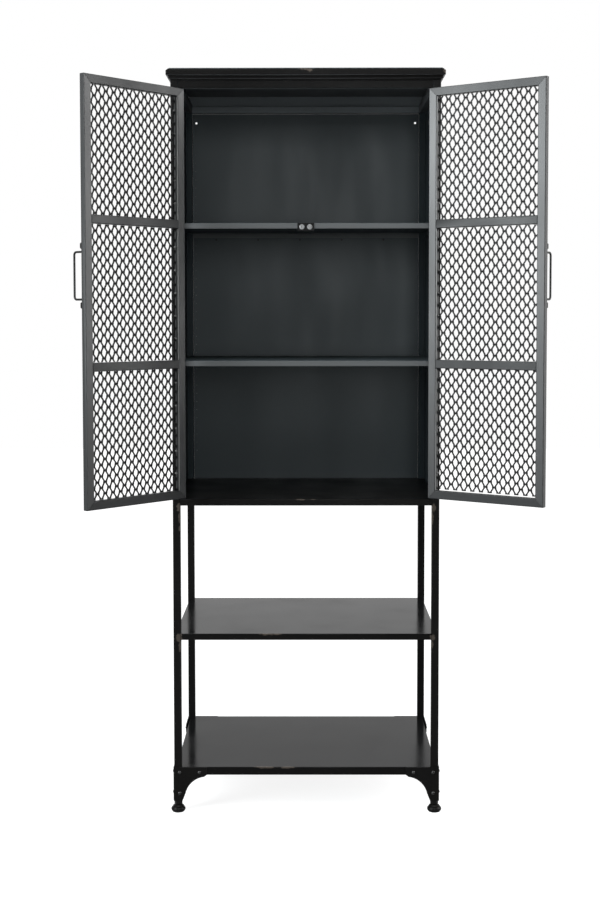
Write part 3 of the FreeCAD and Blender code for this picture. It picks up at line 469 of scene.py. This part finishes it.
def arc(radius, centre, start, finish, steps):
    """Points (radius, height) on part of a circle, from the start angle to the finish, in degrees."""
    turns = [math.radians(start + (finish - start) * step / steps) for step in range(steps + 1)]
    return [(centre[0] + radius * math.cos(turn), centre[1] + radius * math.sin(turn)) for turn in turns]


def facing(direction):
    """Turn a piece's Z axis to a direction."""
    return Vector(direction).to_track_quat("Z", "Y").to_matrix().to_4x4()


def tube(mesh, points, radius, sides):
    """A rod along points, round where they lie in a plane of constant x and near it elsewhere."""
    rings = []
    for number, point in enumerate(points):
        before = points[max(number - 1, 0)]
        after = points[min(number + 1, len(points) - 1)]
        way = (after - before).normalized()
        across = Vector((1, 0, 0))
        up = way.cross(across)
        ring = []
        for side in range(sides):
            turn = math.tau * side / sides
            ring.append(mesh.verts.new(point + radius * (math.cos(turn) * across + math.sin(turn) * up)))
        rings.append(ring)
    for low, high in zip(rings, rings[1:]):
        for side in range(sides):
            after = (side + 1) % sides
            mesh.faces.new((low[side], low[after], high[after], high[side]))
    mesh.faces.new(rings[0])
    mesh.faces.new(rings[-1])


# Expanded metal

DIAMOND_WIDTH = 22.6 * MM
DIAMOND_HEIGHT = 25.9 * MM
STRAND = 5.35 * MM      # width of a strand at its bonds
SHEET = 2.0 * MM
BOND = 1.8 * MM         # height where two strands are one piece
SIDE = 6.2 * MM         # the upright side of a diamond
LEAN = 0.35 * MM        # out of the sheet, at the ends of a bond
FIRST_COLUMN = 0.4      # of a diamond's width, before the grille's edge
GRILLE_PHASE = 0.3      # of half a diamond's height, where the first grille's pattern starts
ROW_PHASE = 0.37        # added from one grille to the next one down
DOOR_PHASE = 0.2        # added for the right door


def strand_sections(low_z, high_z, column, phase):
    """Sections (left x, right x, lean, z) of one zigzag strand between two columns of bonds."""
    half_pitch = DIAMOND_WIDTH / 2
    half_rise = DIAMOND_HEIGHT / 2
    low_x = column * half_pitch
    high_x = low_x + half_pitch
    run = (half_pitch - STRAND) / (half_rise - (BOND + SIDE) / 2)
    shift = run * (SIDE - BOND) / 2
    left_bond = (low_x, low_x + STRAND)
    left_corner = (low_x + shift, low_x + STRAND)
    right_bond = (high_x - STRAND, high_x)
    right_corner = (high_x - STRAND, high_x - shift)
    count = math.ceil((high_z - low_z) / half_rise) + 2
    sections = []
    for number in range(-1, count):
        z = low_z + (number + phase) * half_rise
        if (number + column) % 2 == 0:
            bond, leaving, coming = left_bond, left_corner, right_corner
        else:
            bond, leaving, coming = right_bond, right_corner, left_corner
        sections.append((*bond, -LEAN, z - BOND / 2))
        sections.append((*bond, LEAN, z + BOND / 2))
        sections.append((*leaving, LEAN, z + SIDE / 2))
        sections.append((*coming, -LEAN, z + half_rise - SIDE / 2))
    return sections


def add_strand(mesh, sections, shift, y):
    """A flat band through the sections, as thick as the sheet and closed at both ends."""
    rings = []
    for left, right, lean, z in sections:
        ring = [mesh.verts.new((left + shift, y + lean - SHEET / 2, z)),
                mesh.verts.new((right + shift, y + lean - SHEET / 2, z)),
                mesh.verts.new((right + shift, y + lean + SHEET / 2, z)),
                mesh.verts.new((left + shift, y + lean + SHEET / 2, z))]
        rings.append(ring)
    for low, high in zip(rings, rings[1:]):
        for side in range(4):
            after = (side + 1) % 4
            mesh.faces.new((low[side], low[after], high[after], high[side]))
    mesh.faces.new(rings[0])
    mesh.faces.new(rings[-1])


def trim(mesh, point, outward):
    """Cut away what lies beyond a plane and close the cut ends."""
    everything = mesh.verts[:] + mesh.edges[:] + mesh.faces[:]
    cut = bmesh.ops.bisect_plane(mesh, geom=everything, plane_co=point, plane_no=outward, clear_outer=True)
    edges = [item for item in cut["geom_cut"] if isinstance(item, bmesh.types.BMEdge)]
    bmesh.ops.edgeloop_fill(mesh, edges=edges)


def expanded_metal(side, level, phase):
    """One grille with all its diamonds, cut to the size of the CAD panel that it stands in for."""
    node = f"{side}_door_{level}_mesh_panel"
    matrix = door_matrix(side)
    low, high = islands(node, matrix)[0]
    y = (low.y + high.y) / 2
    mesh = bmesh.new()
    columns = math.ceil((high.x - low.x) / (DIAMOND_WIDTH / 2)) + 2
    for column in range(columns):
        sections = strand_sections(low.z, high.z, column, phase)
        add_strand(mesh, sections, low.x - DIAMOND_WIDTH * FIRST_COLUMN, y)
    for point, outward in ((low, (-1, 0, 0)), (low, (0, 0, -1)), (high, (1, 0, 0)), (high, (0, 0, 1))):
        trim(mesh, point, outward)
    move(mesh, mesh.verts, matrix)
    return solid(f"{side}_{level}_expanded_metal", mesh, "mesh", f"{side}_door",
                 (node,), smooth=20)


TACK_SPACING = 54 * MM
TACK_SIZE = 1.3 * MM
TACK_CHANGE = 0.3 * MM        # from bead to bead
TACK_STAGGER = 3              # of its size, up at the one edge and down at the other
TACK_SETBACK = 0.4 * MM       # a bead's foot beyond the grille's edge
TACK_STRETCH = 1.7            # through the door, of its width along the edge
TACK_RADIUS = 1.9             # of its size
TACK_HEIGHT = 2.2
STRIP_OUTSIDE = 0.3 * MM      # a strip's edge beyond the grille's
STRIP_INSIDE = 0.5 * MM
STRIP_DEEP = 3.4 * MM         # under the stile's inner face
STRIP_SHALLOW = 1.6 * MM


def tack_welds(side):
    """Small beads that hold the grilles' upright edges to the door's stiles."""
    matrix = door_matrix(side)
    mesh = bmesh.new()
    for level in LEVELS:
        low, high = islands(f"{side}_door_{level}_mesh_panel", matrix)[0]
        y = (low.y + high.y) / 2
        rows = int((high.z - low.z) / TACK_SPACING)
        margin = (high.z - low.z - (rows - 1) * TACK_SPACING) / 2
        for row in range(rows):
            z = low.z + margin + row * TACK_SPACING
            for x, way in ((low.x - TACK_SETBACK, 1), (high.x + TACK_SETBACK, -1)):
                size = TACK_SIZE + TACK_CHANGE * math.sin(7 * row + 3 * way)
                height = z + TACK_STAGGER * size * way
                seat = Matrix.Translation((x, y, height)) @ facing((way, 0, 0))
                stretch = Matrix.Diagonal((TACK_STRETCH, 1, 1, 1))
                profile = head_profile(TACK_RADIUS * size, TACK_HEIGHT * size)
                lathe(mesh, profile, SPOT_SIDES, matrix @ seat @ stretch)
    return solid(f"{side}_grille_tack_welds", mesh, "weld", f"{side}_door")


def box(mesh, low, high, matrix=Matrix.Identity(4)):
    """A box between two corners."""
    middle = (low + high) / 2
    place = Matrix.Translation(middle) @ Matrix.Diagonal((*(high - low), 1))
    bmesh.ops.create_cube(mesh, size=1, matrix=matrix @ place)


def grille_edge_painted_highlights(side):
    """Thin light strips along the hinge stile, on the inner side of the grilles: a painted highlight that
    stands for the glint on the stile's rounded edge.
    """
    matrix = door_matrix(side)
    stile_high = islands(f"{side}_door_hinge_stile", matrix)[0][1]
    mesh = bmesh.new()
    for level in LEVELS:
        low, high = islands(f"{side}_door_{level}_mesh_panel", matrix)[0]
        box(mesh, Vector((low.x - STRIP_OUTSIDE, stile_high.y - STRIP_DEEP, low.z)),
            Vector((low.x + STRIP_INSIDE, stile_high.y - STRIP_SHALLOW, high.z)), matrix)
    return solid(f"{side}_grille_edge_painted_highlights", mesh, "strip", f"{side}_door")


SEAM_X = -294.5 * MM          # the seam up the back panel's left side
SEAM_LOW = 840 * MM
SEAM_HIGH = 1640 * MM
SEAM_SPACING = 22 * MM
SEAM_SPOT = 1.1 * MM
SEAM_SPOT_CHANGE = 0.3 * MM   # from spot to spot
SEAM_SPOT_WAVE = 900          # radians to a metre of height
SEAM_SPOT_SIDES = 10
SEAM_SPOT_SHARE = 0.6         # a spot's height, of its radius
SHELF_SPOTS = 5
SHELF_SPOT_START = -240 * MM
SHELF_SPOT_SPACING = 112 * MM
SHELF_SPOT_DROP = 5 * MM      # below the shelf's folded edge
SHELF_SPOT_RADIUS = 2.6 * MM
SHELF_SPOT_HEIGHT = 0.5 * MM


def panel_spot_welds():
    """Spots where the back panel is welded: small pale ones up the left seam, dark ones under shelves."""
    back_low = islands("back_panel")[0][0]
    pale = bmesh.new()
    height = SEAM_LOW
    while height < SEAM_HIGH:
        size = SEAM_SPOT + SEAM_SPOT_CHANGE * math.sin(height * SEAM_SPOT_WAVE)
        seat = Matrix.Translation((SEAM_X, back_low.y, height)) @ facing((0, -1, 0))
        lathe(pale, head_profile(size, size * SEAM_SPOT_SHARE), SEAM_SPOT_SIDES, seat)
        height += SEAM_SPACING
    solid("seam_spot_welds", pale, "weld", "cabinet")
    dark = bmesh.new()
    for shelf in ("upper_interior_shelf", "lower_interior_shelf"):
        shelf_low = islands(shelf)[0][0]
        for number in range(SHELF_SPOTS):
            x = SHELF_SPOT_START + SHELF_SPOT_SPACING * number
            seat = Matrix.Translation((x, back_low.y, shelf_low.z - SHELF_SPOT_DROP)) @ facing((0, -1, 0))
            lathe(dark, head_profile(SHELF_SPOT_RADIUS, SHELF_SPOT_HEIGHT), SPOT_SIDES, seat)
    solid("shelf_spot_welds", dark, "mesh", "cabinet")


# Handles, rivets, feet and catch

INSET = 0.98      # keeps a round piece inside the faceted solid that it stands in for
ROD_BEND = 7 * MM
ROD_SIDES = 20


def handle_rod(side):
    """The round rod, bent to a loop whose legs stand on the handle's plate."""
    node = f"{side}_door_handle_rod"
    matrix = door_matrix(side)
    low, high = islands(node, matrix)[0]
    radius = (high.x - low.x) / 2 * INSET
    x = low.x + radius
    front = low.y + radius
    bottom = low.z + radius
    top = high.z - radius
    lower = arc(ROD_BEND, (front + ROD_BEND, bottom + ROD_BEND), 270, 180, 8)
    upper = arc(ROD_BEND, (front + ROD_BEND, top - ROD_BEND), 180, 90, 8)
    outline = [(high.y, bottom), *lower, *upper, (high.y, top)]
    mesh = bmesh.new()
    tube(mesh, [Vector((x, y, z)) for y, z in outline], radius, ROD_SIDES)
    move(mesh, mesh.verts, matrix)
    return solid(f"{side}_handle_round_rod", mesh, "handle", f"{side}_door", (node,))


def head_profile(radius, height):
    """A domed head over a flat underside, as (radius, height) pairs."""
    crown = (radius ** 2 + height ** 2) / (2 * height)
    start = math.degrees(math.asin((crown - height) / crown))
    dome = arc(crown, (0, height - crown), start, 90, 7)
    dome[-1] = (0, height)
    return [(0, 0), (radius, 0), *dome[1:]]


def handle_screws(side):
    """Domed screw heads that hold the handle's plate."""
    node = f"{side}_door_handle_screws"
    matrix = door_matrix(side)
    mesh = bmesh.new()
    for low, high in islands(node, matrix):
        middle = (low + high) / 2
        radius = (high.z - low.z) / 2 * INSET
        seat = Matrix.Translation((middle.x, high.y, middle.z)) @ facing((0, -1, 0))
        lathe(mesh, head_profile(radius, (high.y - low.y) * INSET), HEAD_SIDES, matrix @ seat)
    return solid(f"{side}_handle_domed_screws", mesh, "handle", f"{side}_door", (node,))


def bracket_rivets():
    """Domed rivet heads, each facing out from the side, front or rear that it is on."""
    mesh = bmesh.new()
    for low, high in islands("bracket_rivets"):
        middle = (low + high) / 2
        extent = high - low
        radius = extent.z / 2
        if extent.x < extent.y:
            outward = Vector((math.copysign(1, middle.x), 0, 0))
            height = extent.x
        else:
            outward = Vector((0, math.copysign(1, middle.y), 0))
            height = extent.y
        base = middle - outward * height / 2
        seat = Matrix.Translation(base) @ facing(outward)
        lathe(mesh, head_profile(radius, height * INSET), HEAD_SIDES, seat)
    return solid("bracket_domed_rivets", mesh, "rivets", "cabinet", ("bracket_rivets",))


BEAD_RADIUS = 1.2 * MM
BEAD_SIDES = 8
BEAD_SETBACK = 1.4 * MM                 # in front of the flange's rear face
BEAD_FOOT = (303.0 * MM, 1759.5 * MM)   # X and Z where a bead starts, and below where it ends
BEAD_HEAD = (312.6 * MM, 1784.6 * MM)


def flange_seams():
    """Beads that close the joint of the top sheet's rear flange with the side cornices."""
    flange_y = islands("top_sheet")[0][1].y - BEAD_SETBACK
    mesh = bmesh.new()
    for way in (-1, 1):
        foot, head = (Vector((way * x, flange_y, z)) for x, z in (BEAD_FOOT, BEAD_HEAD))
        tube(mesh, [foot, head], BEAD_RADIUS, BEAD_SIDES)
    return solid("rear_flange_seams", mesh, "frame", "cabinet")


FOOT_RIM = 6 * MM             # the rim's rounding
FOOT_RIM_LIFT = 0.3 * MM
SOLE_INSET = 3 * MM           # the sole's edge inside the rim
FILLET = 1.2 * MM             # between the rim and the crown
FILLET_INSET = 4 * MM
FILLET_HEIGHT = 12.2 * MM
CROWN = 16.4 * MM
CROWN_CENTRE = (1.5 * MM, 2.7 * MM)
COLLAR_RADIUS = 6 * MM
COLLAR_TOP = 19.2 * MM
STEM_RADIUS = 4 * MM
STEM_TOP = 28 * MM
NUT_ACROSS_FLATS = 17 * MM
NUT_CHAMFERED = 0.9           # of its radius, at the ends
NUT_BOTTOM = 18.6 * MM
NUT_LOWER_EDGE = 19.4 * MM
NUT_UPPER_EDGE = 27.2 * MM
NUT_TOP = 27.9 * MM


def levelling_feet():
    """Turned feet with a rounded rim, a crowned top and a nut on the stem."""
    nut_radius = NUT_ACROSS_FLATS / math.sqrt(3)
    chamfered = nut_radius * NUT_CHAMFERED
    nut = [(0, NUT_BOTTOM), (chamfered, NUT_BOTTOM), (nut_radius, NUT_LOWER_EDGE),
           (nut_radius, NUT_UPPER_EDGE), (chamfered, NUT_TOP), (0, NUT_TOP)]
    mesh = bmesh.new()
    for low, high in islands("levelling_feet"):
        middle = (low + high) / 2
        radius = (high.x - low.x) / 2
        place = Matrix.Translation((middle.x, middle.y, 0))
        profile = [(0, 0), (radius - SOLE_INSET, 0)]
        profile += arc(FOOT_RIM, (radius - FOOT_RIM, FOOT_RIM + FOOT_RIM_LIFT), -60, 55, 8)
        profile += arc(FILLET, (radius - FILLET_INSET, FILLET_HEIGHT), -20, -120, 3)
        profile += arc(CROWN, CROWN_CENTRE, 46, 72, 5)
        profile += [(COLLAR_RADIUS, COLLAR_TOP), (STEM_RADIUS, COLLAR_TOP)]
        profile += [(STEM_RADIUS, STEM_TOP), (0, STEM_TOP)]
        lathe(mesh, profile, FOOT_SIDES, place)
        lathe(mesh, nut, NUT_SIDES, place)
    return solid("turned_levelling_feet", mesh, "feet", "cabinet", ("levelling_feet",), smooth=32)


POT_EDGE = 0.4 * MM           # chamfer at a magnet pot's rim
RECESS_RADIUS = 0.46          # of the pot's radius
RECESS_FLOOR = 0.5            # of the pot's height
SCREW_RADIUS = 0.36
SCREW_HEIGHT = 0.35
SCREW_SIDES = 16


def catch_magnets():
    """Magnet pots with a raised rim and a recess."""
    mesh = bmesh.new()
    for low, high in islands("catch_magnets"):
        middle = (low + high) / 2
        radius = (high.x - low.x) / 2
        height = high.y - low.y
        seat = Matrix.Translation((middle.x, high.y, middle.z)) @ facing((0, -1, 0))
        hole = radius * RECESS_RADIUS
        floor = height * RECESS_FLOOR
        profile = [(0, 0), (radius, 0), (radius, height - POT_EDGE), (radius - POT_EDGE, height),
                   (hole + POT_EDGE, height), (hole, height - POT_EDGE), (hole, floor), (0, floor)]
        lathe(mesh, profile, POT_SIDES, seat)
    return solid("catch_magnet_pots", mesh, "magnets", "cabinet", ("catch_magnets",))


def catch_screws():
    """The small screws in the magnet pots' recesses."""
    mesh = bmesh.new()
    for low, high in islands("catch_magnets"):
        middle = (low + high) / 2
        radius = (high.x - low.x) / 2 * SCREW_RADIUS
        height = high.y - low.y
        seat = Matrix.Translation((middle.x, high.y - height * RECESS_FLOOR, middle.z)) @ facing((0, -1, 0))
        lathe(mesh, head_profile(radius, height * SCREW_HEIGHT), SCREW_SIDES, seat)
    return solid("catch_screw_heads", mesh, "screws", "cabinet")


# The CAD pieces that stay

def finish_of(node):
    """The finish of a CAD piece, by its name."""
    if "handle" in node:
        return "handle"
    if node.endswith("_stile") or "hinge_door" in node:
        return "stile"
    if "_door_" in node:
        return "rail"
    if "interior_shelf" in node:
        return "shelf"
    if "panel" in node:
        return "inner"
    if node in ("middle_shelf", "bottom_shelf"):
        return "open_shelf"
    if node in ("top_sheet", "top_rear_rail"):
        return "rear_header"
    if node.startswith("top_") or node.startswith("cornice"):
        return "header"
    return "frame"


THIN_MITRED = ("top_sheet", "cornice_left", "cornice_right")
SOFT_WIDTH = 0.4 * MM
SOFT_ANGLE = math.radians(28)
WELD_REACH = 0.01 * MM


def soften(thing):
    """Round the crisp edges of a carried-over piece a little."""
    weld = thing.modifiers.new("weld", "WELD")
    weld.merge_threshold = WELD_REACH
    bevel = thing.modifiers.new("soft_edges", "BEVEL")
    bevel.width = SOFT_WIDTH
    bevel.segments = 2
    bevel.limit_method = "ANGLE"
    bevel.angle_limit = SOFT_ANGLE
    bevel.harden_normals = True


def dress_frame():
    """Finish the CAD pieces. Those with thin mitred walls keep their edges crisp."""
    for node, thing in frame["nodes"].items():
        dress(thing, finish_of(node))
        if node not in THIN_MITRED:
            soften(thing)


# Stage and light

FLOOR_HALF = 9.0
FLOOR_GREY = (0.38, 0.38, 0.38, 1)
WHITE = (1, 1, 1, 1)
GLOW_NEAR = (0.5, 0.86)           # metres from the object's middle, and the floor's glow there
GLOW_FAR = (3.5, 1.0)
MIRRORED_NEAR = (0.0, 0.05)       # metres behind the middle, and the glow that gloss mirrors there
MIRRORED_FAR = (2.5, 1.0)
ROOM_AHEAD = (0.05, 0.03)         # Y part of a ray's way, and the room's strength that way
ROOM_BEHIND = (0.65, 1.0)
ROOM_DIFFUSE = 0.28               # strength that lights the paint
ROOM_SEEN = 1.0


def rising(tree, value, start, end):
    """A value that goes evenly from one (where, how much) pair to another and stays there beyond."""
    node = tree.nodes.new("ShaderNodeMapRange")
    tree.links.new(value, node.inputs["Value"])
    for name, number in (("From Min", start[0]), ("From Max", end[0]),
                         ("To Min", start[1]), ("To Max", end[1])):
        node.inputs[name].default_value = number
    return node.outputs["Result"]


def background_share(tree, path):
    """One for rays from the camera, from gloss and through glass, which see the floor glow."""
    total = path.outputs["Is Camera Ray"]
    for name in ("Is Glossy Ray", "Is Transmission Ray"):
        node = tree.nodes.new("ShaderNodeMath")
        node.operation = "MAXIMUM"
        tree.links.new(total, node.inputs[0])
        tree.links.new(path.outputs[name], node.inputs[1])
        total = node.outputs[0]
    return total


def make_floor():
    """A white floor that glows by itself and still takes the object's shadow."""
    mesh = bmesh.new()
    bmesh.ops.create_grid(mesh, x_segments=4, y_segments=4, size=FLOOR_HALF)
    data = bpy.data.meshes.new("studio_floor")
    mesh.to_mesh(data)
    mesh.free()
    floor = bpy.data.objects.new("studio_floor", data)
    bpy.context.scene.collection.objects.link(floor)
    material = bpy.data.materials.new("studio_floor")
    material.use_nodes = True
    tree = material.node_tree
    tree.nodes.clear()
    path = tree.nodes.new("ShaderNodeLightPath")
    seen = background_share(tree, path)
    plain = tree.nodes.new("ShaderNodeBsdfDiffuse")
    plain.inputs["Color"].default_value = FLOOR_GREY
    glow = tree.nodes.new("ShaderNodeEmission")
    glow.inputs["Color"].default_value = WHITE
    place = tree.nodes.new("ShaderNodeTexCoord")
    away = tree.nodes.new("ShaderNodeVectorMath")
    away.operation = "LENGTH"
    tree.links.new(place.outputs["Object"], away.inputs[0])
    split = tree.nodes.new("ShaderNodeSeparateXYZ")
    tree.links.new(place.outputs["Object"], split.inputs[0])
    level = tree.nodes.new("ShaderNodeMix")
    tree.links.new(path.outputs["Is Glossy Ray"], level.inputs["Factor"])
    tree.links.new(rising(tree, away.outputs["Value"], GLOW_NEAR, GLOW_FAR), level.inputs[2])
    tree.links.new(rising(tree, split.outputs["Y"], MIRRORED_NEAR, MIRRORED_FAR), level.inputs[3])
    strength = tree.nodes.new("ShaderNodeMath")
    strength.operation = "MULTIPLY"
    tree.links.new(seen, strength.inputs[0])
    tree.links.new(level.outputs[0], strength.inputs[1])
    tree.links.new(strength.outputs[0], glow.inputs["Strength"])
    both = tree.nodes.new("ShaderNodeAddShader")
    tree.links.new(plain.outputs[0], both.inputs[0])
    tree.links.new(glow.outputs[0], both.inputs[1])
    output = tree.nodes.new("ShaderNodeOutputMaterial")
    tree.links.new(both.outputs[0], output.inputs["Surface"])
    data.materials.append(material)


def make_room():
    """A white room behind the object, darker behind the camera, as a studio is."""
    world = bpy.data.worlds.new("studio_room")
    bpy.context.scene.world = world
    world.use_nodes = True
    tree = world.node_tree
    back = tree.nodes["Background"]
    back.inputs["Color"].default_value = WHITE
    place = tree.nodes.new("ShaderNodeTexCoord")
    split = tree.nodes.new("ShaderNodeSeparateXYZ")
    tree.links.new(place.outputs["Generated"], split.inputs[0])
    path = tree.nodes.new("ShaderNodeLightPath")
    level = tree.nodes.new("ShaderNodeMix")
    tree.links.new(path.outputs["Is Diffuse Ray"], level.inputs["Factor"])
    tree.links.new(rising(tree, split.outputs["Y"], ROOM_AHEAD, ROOM_BEHIND), level.inputs[2])
    level.inputs[3].default_value = ROOM_DIFFUSE
    final = tree.nodes.new("ShaderNodeMix")
    tree.links.new(path.outputs["Is Camera Ray"], final.inputs["Factor"])
    tree.links.new(level.outputs[0], final.inputs[2])
    final.inputs[3].default_value = ROOM_SEEN
    tree.links.new(final.outputs[0], back.inputs["Strength"])


def softbox(name, place, target, width, height, watts, colour=(1, 1, 1)):
    """A rectangular lamp that looks from its place to a target."""
    data = bpy.data.lights.new(name, "AREA")
    data.shape = "RECTANGLE"
    data.size = width
    data.size_y = height
    data.energy = watts
    data.color = colour
    lamp = bpy.data.objects.new(name, data)
    bpy.context.scene.collection.objects.link(lamp)
    lamp.location = place
    way = Vector(target) - Vector(place)
    lamp.rotation_euler = way.to_track_quat("-Z", "Y").to_euler()


COOL_WHITE = (0.93, 0.98, 1.0)


def light_studio():
    """Large lamps left, right, above and in front; the doors mirror the ones at their sides."""
    middle = (0, 0, 1.1)
    softbox("left_softbox", (-2.9, -1.95, 2.05), middle, width=1.5, height=2.5, watts=150,
            colour=COOL_WHITE)
    softbox("right_softbox", (3.0, -0.38, 1.75), middle, width=1.35, height=2.0, watts=73)
    softbox("top_softbox", (0, -1.2, 3.6), (0, 0, 0.6), width=2.4, height=1.6, watts=60)
    softbox("front_softbox", (0.18, -4.6, 1.75), middle, width=0.8, height=2.0, watts=46,
            colour=COOL_WHITE)


bpy.context.scene.view_settings.view_transform = "Standard"
aim_camera()
dress_frame()
for door, side in enumerate(SIDES):
    for row, level in enumerate(LEVELS):
        expanded_metal(side, level, GRILLE_PHASE + ROW_PHASE * row + DOOR_PHASE * door)
    tack_welds(side)
    grille_edge_painted_highlights(side)
    handle_rod(side)
    handle_screws(side)
panel_spot_welds()
bracket_rivets()
flange_seams()
levelling_feet()
catch_magnets()
catch_screws()
make_floor()
make_room()
light_studio()
